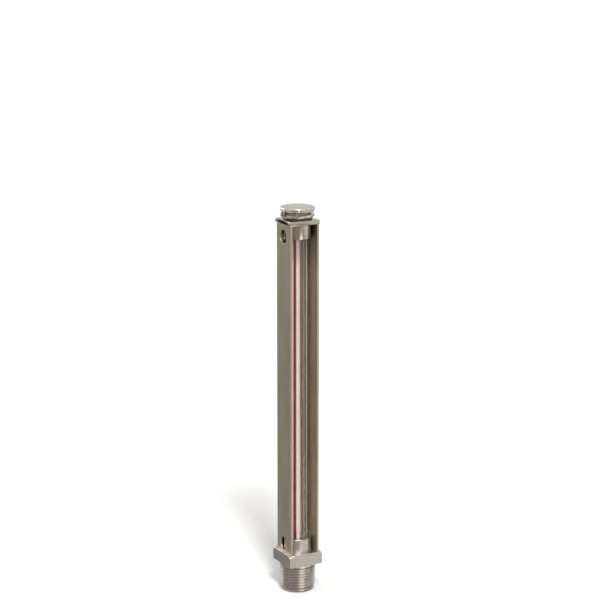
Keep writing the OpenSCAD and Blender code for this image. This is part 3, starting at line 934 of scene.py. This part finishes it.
class GAUGE_OT_guard_screws(bpy.types.Operator):
    """Make the two pan-head guard screws and their split lock washers"""

    bl_idname = "gauge.guard_screws"
    bl_label = "Guard Screws"

    def screw(self, b, radius):
        """One screw along +Z, with a cross recess and a rolled thread."""
        low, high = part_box("guard_screws")
        tip, top = low.y, high.y
        seat = top - b.screw_head_height
        root = b.screw_radius - b.screw_depth
        crown = 0.45 * b.screw_head_height
        head_edge = 0.1 * MM
        chamfer = 0.2 * MM
        shank = 0.25 * MM  # plain shank under the head, and the taper up to it
        screw = turned("guard_screw_lower", [
            (0, tip), (root - chamfer, tip), (root, tip + chamfer), (root, seat - 2 * shank),
            (b.screw_radius, seat - shank), (b.screw_radius, seat), (radius, seat, head_edge),
            (radius, top, crown), (0, top)], SMALL_STEPS)
        for turn in (45, 135):
            arm = block("arm", (-b.recess_span / 2, -b.recess_width / 2, top - b.recess_depth),
                        (b.recess_span / 2, b.recess_width / 2, top + PAST))
            combine(screw, settle(arm, turn=(0, 0, math.radians(turn))), "DIFFERENCE")
        plain = 0.7 * MM  # left without thread under the head
        flat = 0.06 * MM
        turns = int((seat - plain - tip) / b.screw_pitch) - 1
        ridge = thread_ridge("thread", b.screw_radius, b.screw_depth, b.screw_pitch, flat,
                             tip + b.screw_pitch / 2, turns, steps=48)
        return combine(screw, ridge, "UNION")

    def washer(self, b):
        """One split washer, centred on the Z axis."""
        low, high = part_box("lock_washers")
        outer = high.x
        gap = b.washer_split / ((b.washer_hole + outer) / 2)
        washer = sector("lock_washer_lower", b.washer_hole, outer, low.y, high.y, FULL_TURN - gap,
                        math.radians(180), SMALL_STEPS)
        edge = 0.05 * MM
        return soften(washer, edge)

    def execute(self, context):
        b = breather()
        head_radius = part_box("guard_screws")[1].x
        lower, upper = screw_levels()
        along_y = (math.radians(-90), 0, 0)
        for piece, node, slot in ((self.screw(b, head_radius), "guard_screws", "plated_screws"),
                                  (self.washer(b), "lock_washers", "plated_screws")):
            settle(piece, turn=along_y, move=(0, 0, lower))
            twin = copied(piece, piece.name.replace("lower", "upper"))
            settle(twin, move=(0, 0, upper - lower))
            for each in (piece, twin):
                hand_over(each, "column", node, bright_plated_steel)
        return {"FINISHED"}


class GAUGE_OT_vent_body(bpy.types.Operator):
    """Turn the breather's body, mill its air slots and cut the thread on its stem"""

    bl_idname = "gauge.vent_body"
    bl_label = "Vent Body"

    def slots(self, b, outer, bottom):
        """A ring-shaped cutter with a gap for each post between the air slots."""
        top = bottom + b.slot_height
        cutter = turned_ring("slots", b.chamber_radius - OVERLAP, outer + OVERLAP, bottom, top, 0)
        for turn in range(b.slot_count):
            post = block("post", (-b.post_width / 2, -outer - 2 * OVERLAP, bottom - PAST),
                         (b.post_width / 2, 0, top + PAST))
            settle(post, turn=(0, 0, b.post_turn + turn * FULL_TURN / b.slot_count))
            combine(cutter, post, "DIFFERENCE")
        return cutter

    def execute(self, context):
        b = breather()
        stem_end, rim = levels("vent_body")
        outer = outer_radius("vent_body")
        foot = levels("vent_gasket")[1] + sizes().seat_gap
        floor = foot + b.foot_height
        root = b.stem_radius - b.stem_depth
        shoulder = foot - 1.3 * MM
        chamfer = 0.2 * MM
        run_out = 0.4 * MM
        body = turned("vent_body_turned", [
            (b.air_radius, stem_end), (root - chamfer, stem_end), (root, stem_end + chamfer),
            (root, shoulder - run_out), (b.stem_radius, shoulder), (b.stem_radius, foot),
            (b.foot_radius, foot, b.turned_edge), (outer, floor, b.turned_edge),
            (outer, rim, b.turned_edge), (b.chamber_radius, rim), (b.chamber_radius, floor),
            (b.air_radius, floor), (b.air_radius, stem_end)])
        combine(body, self.slots(b, outer, floor + b.band_height), "DIFFERENCE")
        milled_edge = 0.08 * MM
        soften(body, milled_edge, 2)
        turns = int((shoulder - stem_end) / b.stem_pitch) - 1
        flat = 0.13 * MM
        lead_in = 0.1 * MM
        ridge = thread_ridge("thread", b.stem_radius, b.stem_depth, b.stem_pitch, flat,
                             stem_end + b.stem_pitch / 2 + lead_in, turns)
        combine(body, ridge, "UNION")
        hand_over(body, "breather", "vent_body", bright_nickel_on_turned_brass)
        return {"FINISHED"}


class GAUGE_OT_vent_cap(bpy.types.Operator):
    """Turn the breather's cap, with its rolled edge and the spigot under it"""

    bl_idname = "gauge.vent_cap"
    bl_label = "Vent Cap"

    def execute(self, context):
        b = breather()
        bottom, top = levels("vent_cap")
        radius = outer_radius("vent_cap")
        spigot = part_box("vent_screen")[1].x
        seat = bottom + b.cap_spigot
        under = seat + b.cap_neck_height
        edge = 0.12 * MM
        cap = turned("vent_cap_turned", [
            (0, bottom), (spigot, bottom, edge), (spigot, seat), (b.cap_neck_radius, seat),
            (b.cap_neck_radius, under), (radius, under, edge), (radius, top, b.cap_edge), (0, top)])
        hand_over(cap, "breather", "vent_cap", bright_nickel_on_turned_brass)
        return {"FINISHED"}


class GAUGE_OT_vent_inserts(bpy.types.Operator):
    """Make the felt filter, the wire screen round it and the ring that holds it down"""

    bl_idname = "gauge.vent_inserts"
    bl_label = "Vent Inserts"

    def screen(self, b):
        """Crossed wires round the filter, a wire thickness inside the chamber's wall."""
        low, high = levels("vent_screen")
        inset = 0.7 * b.wire
        uprights = 120
        rows = 8
        clear_selection()
        bpy.ops.mesh.primitive_cylinder_add(
            vertices=uprights, radius=outer_radius("vent_screen") - inset,
            depth=high - low - 2 * inset, end_fill_type="NOTHING",
            location=(0, 0, (low + high) / 2))
        screen = bpy.context.object
        screen.name = "vent_screen_woven"
        settle(screen)
        bpy.ops.object.mode_set(mode="EDIT")
        for row in range(1, rows):
            level = low + row * (high - low) / rows
            bpy.ops.mesh.select_all(action="SELECT")
            bpy.ops.mesh.bisect(plane_co=(0, 0, level), plane_no=(0, 0, 1))
        bpy.ops.object.mode_set(mode="OBJECT")
        mesh = screen.modifiers.new("Wires", "WIREFRAME")
        mesh.thickness = b.wire
        mesh.use_even_offset = False
        bpy.ops.object.modifier_apply(modifier=mesh.name)
        smooth(screen)
        return screen

    def execute(self, context):
        b = breather()
        hand_over(self.screen(b), "breather", "vent_screen", bronze_wire)
        low, high = levels("vent_filter")
        radius = outer_radius("vent_filter")
        soft = 0.35 * MM
        section = [(0, low), (radius, low, soft), (radius, high, soft), (0, high)]
        felt = turned("vent_filter_felt", section)
        hand_over(felt, "breather", "vent_filter", pressed_wool_felt)
        stamped_edge = 0.1 * MM
        ring = turned_ring("filter_retainer_stamped", b.retainer_hole,
                           outer_radius("filter_retainer"), *levels("filter_retainer"),
                           stamped_edge)
        hand_over(ring, "breather", "filter_retainer",
                  dull_nickel_on_folded_sheet)
        return {"FINISHED"}


# ---------------------------------------------------------------- studio

def toward(turn, height):
    """The direction from the gauge towards a turn round it and a height above the horizon."""
    level = math.cos(height)
    return Vector((math.sin(turn) * level, -math.cos(turn) * level, math.sin(height)))


class GAUGE_OT_stage(bpy.types.Operator):
    """Set the floor, the light and the camera"""

    bl_idname = "gauge.stage"
    bl_label = "Stage"

    def floor(self):
        """A sheet of paper under the gauge, which the metal doesn't mirror."""
        clear_selection()
        bpy.ops.mesh.primitive_plane_add(size=FLOOR_SIZE)
        paper = bpy.context.object
        paper.name = "floor"
        paper.data.materials.append(studio_paper())
        paper.visible_glossy = False

    def card(self, tree, place, level, name, turn, rise, full, edge, brightness):
        """Adds a soft round card to the room's brightness.

        Its turn, its rise and the radii of its full part and its faded edge are in degrees."""
        way = toward(math.radians(turn), math.radians(rise))
        facing = add(tree, "ShaderNodeVectorMath", {"operation": "DOT_PRODUCT", 1: way}, {0: place})
        inside = add(tree, "ShaderNodeMapRange", {
            "interpolation_type": "SMOOTHSTEP", "From Min": math.cos(math.radians(edge)),
            "From Max": math.cos(math.radians(full))}, {"Value": facing.outputs["Value"]})
        mix = add(tree, "ShaderNodeMix", {"data_type": "FLOAT", "B": brightness},
                  {"Factor": inside.outputs["Result"], "A": level})
        mix.label = name
        return mix.outputs["Result"]

    def cards(self, tree, place, level):
        """What stands round the gauge, each card over the ones before it."""
        card = partial(self.card, tree, place)
        level = card(level, "front wall", turn=-32, rise=0, full=18, edge=50, brightness=0.36)
        level = card(level, "table card", turn=6, rise=-36, full=15, edge=21, brightness=2.1)
        level = card(level, "window card", turn=52, rise=-6, full=12, edge=28, brightness=0.9)
        level = card(level, "overhead box", turn=-20, rise=58, full=22, edge=40, brightness=1.5)
        level = card(level, "back card", turn=150, rise=14, full=18, edge=34, brightness=0.7)
        level = card(level, "left wall", turn=-150, rise=14, full=12, edge=30, brightness=2.6)
        level = card(level, "dark flag", turn=-152, rise=-9, full=9, edge=14, brightness=0.01)
        return card(level, "dark door", turn=-120, rise=-8, full=8, edge=14, brightness=0.06)

    def room(self, studio):
        """A pale room, dimmer low down, with cards round it. The camera doesn't see it."""
        world = bpy.data.worlds.new("room")
        world.use_nodes = True
        tree = world.node_tree
        tree.nodes.clear()
        place = add(tree, "ShaderNodeTexCoord").outputs["Generated"]
        height = add(tree, "ShaderNodeSeparateXYZ", links={0: place}).outputs["Z"]
        walls = add(tree, "ShaderNodeMapRange", {
            "interpolation_type": "SMOOTHSTEP", "From Min": -0.33, "From Max": 0.0,
            "To Min": studio.room_floor, "To Max": studio.ceiling}, {"Value": height})
        level = self.cards(tree, place, walls.outputs["Result"])
        room = add(tree, "ShaderNodeBackground", {"Color": ROOM_TINT}, {"Strength": level})
        paper = add(tree, "ShaderNodeBackground",
                    {"Color": opaque((1, 1, 1)), "Strength": PAPER_BRIGHTNESS})
        ray = add(tree, "ShaderNodeLightPath").outputs["Is Camera Ray"]
        seen = add(tree, "ShaderNodeMixShader",
                   links={0: ray, 1: room.outputs[0], 2: paper.outputs[0]})
        add(tree, "ShaderNodeOutputWorld", links={"Surface": seen.outputs[0]})
        bpy.context.scene.world = world

    def sun(self, name, turn, height, size, strength):
        """A distant light with soft edges."""
        back = toward(turn, height)
        clear_selection()
        bpy.ops.object.light_add(type="SUN", location=back)
        light = bpy.context.object
        light.name = name
        light.rotation_euler = (-back).to_track_quat("-Z", "Y").to_euler()
        light.data.angle = size
        light.data.energy = strength
        return light

    def lights(self, studio):
        """A high key light, and a low fill that reaches the enamel under the top plate."""
        self.sun("key_light", studio.sun_turn, studio.sun_height, studio.sun_size,
                 studio.sun_strength)
        fill = self.sun("fill_light", studio.sun_turn, studio.fill_height, studio.fill_size,
                        studio.fill_strength)
        fill.visible_glossy = False

    def camera(self, studio):
        """A long lens that looks a little down on the gauge."""
        side = Vector((math.cos(studio.camera_turn), math.sin(studio.camera_turn), 0))
        place = toward(studio.camera_turn, 0) * studio.camera_distance + side * studio.camera_side
        clear_selection()
        bpy.ops.object.camera_add(location=place + Vector((0, 0, studio.camera_height)))
        camera = bpy.context.object
        camera.rotation_euler = (math.radians(90) - studio.camera_pitch, 0, studio.camera_turn)
        camera.data.sensor_width = 36
        camera.data.lens = studio.lens
        camera.data.clip_start = 10 * MM
        bpy.context.scene.camera = camera

    def execute(self, context):
        studio = context.scene.gauge_studio
        self.floor()
        self.room(studio)
        self.lights(studio)
        self.camera(studio)
        context.scene.view_settings.view_transform = "Standard"
        return {"FINISHED"}


PIECE_OPERATORS = (
    GAUGE_OT_base_fitting, GAUGE_OT_top_fitting, GAUGE_OT_guard_channel, GAUGE_OT_gauge_glass,
    GAUGE_OT_seals, GAUGE_OT_guard_screws, GAUGE_OT_vent_body, GAUGE_OT_vent_cap,
    GAUGE_OT_vent_inserts, GAUGE_OT_stage,
)


class GAUGE_PT_panel(bpy.types.Panel):
    """Lists the gauge's pieces in the order in which they are built"""

    bl_idname = "GAUGE_PT_panel"
    bl_label = "Sight Gauge"
    bl_space_type = "VIEW_3D"
    bl_region_type = "UI"
    bl_category = "Sight Gauge"

    def draw(self, context):
        for operator in PIECE_OPERATORS:
            self.layout.operator(operator.bl_idname)
        for name in GROUPS:
            group = getattr(context.scene, name)
            box = self.layout.box()
            for key in group.bl_rna.properties.keys():
                if key not in ("rna_type", "name"):
                    box.prop(group, key)


GROUPS = {
    "gauge_sizes": GaugeSizes,
    "gauge_breather": BreatherSizes,
    "gauge_finish": GaugeFinish,
    "gauge_studio": GaugeStudio,
}
CLASSES = (*GROUPS.values(), *PIECE_OPERATORS, GAUGE_PT_panel)


def register():
    for each in CLASSES:
        bpy.utils.register_class(each)
    for name, group in GROUPS.items():
        setattr(bpy.types.Scene, name, PointerProperty(type=group))


def unregister():
    for name in GROUPS:
        delattr(bpy.types.Scene, name)
    for each in reversed(CLASSES):
        bpy.utils.unregister_class(each)


def main():
    register()
    for operator in PIECE_OPERATORS:
        group, action = operator.bl_idname.split(".")
        getattr(getattr(bpy.ops, group), action)()
    clear_selection()


if __name__ == "__main__":
    main()
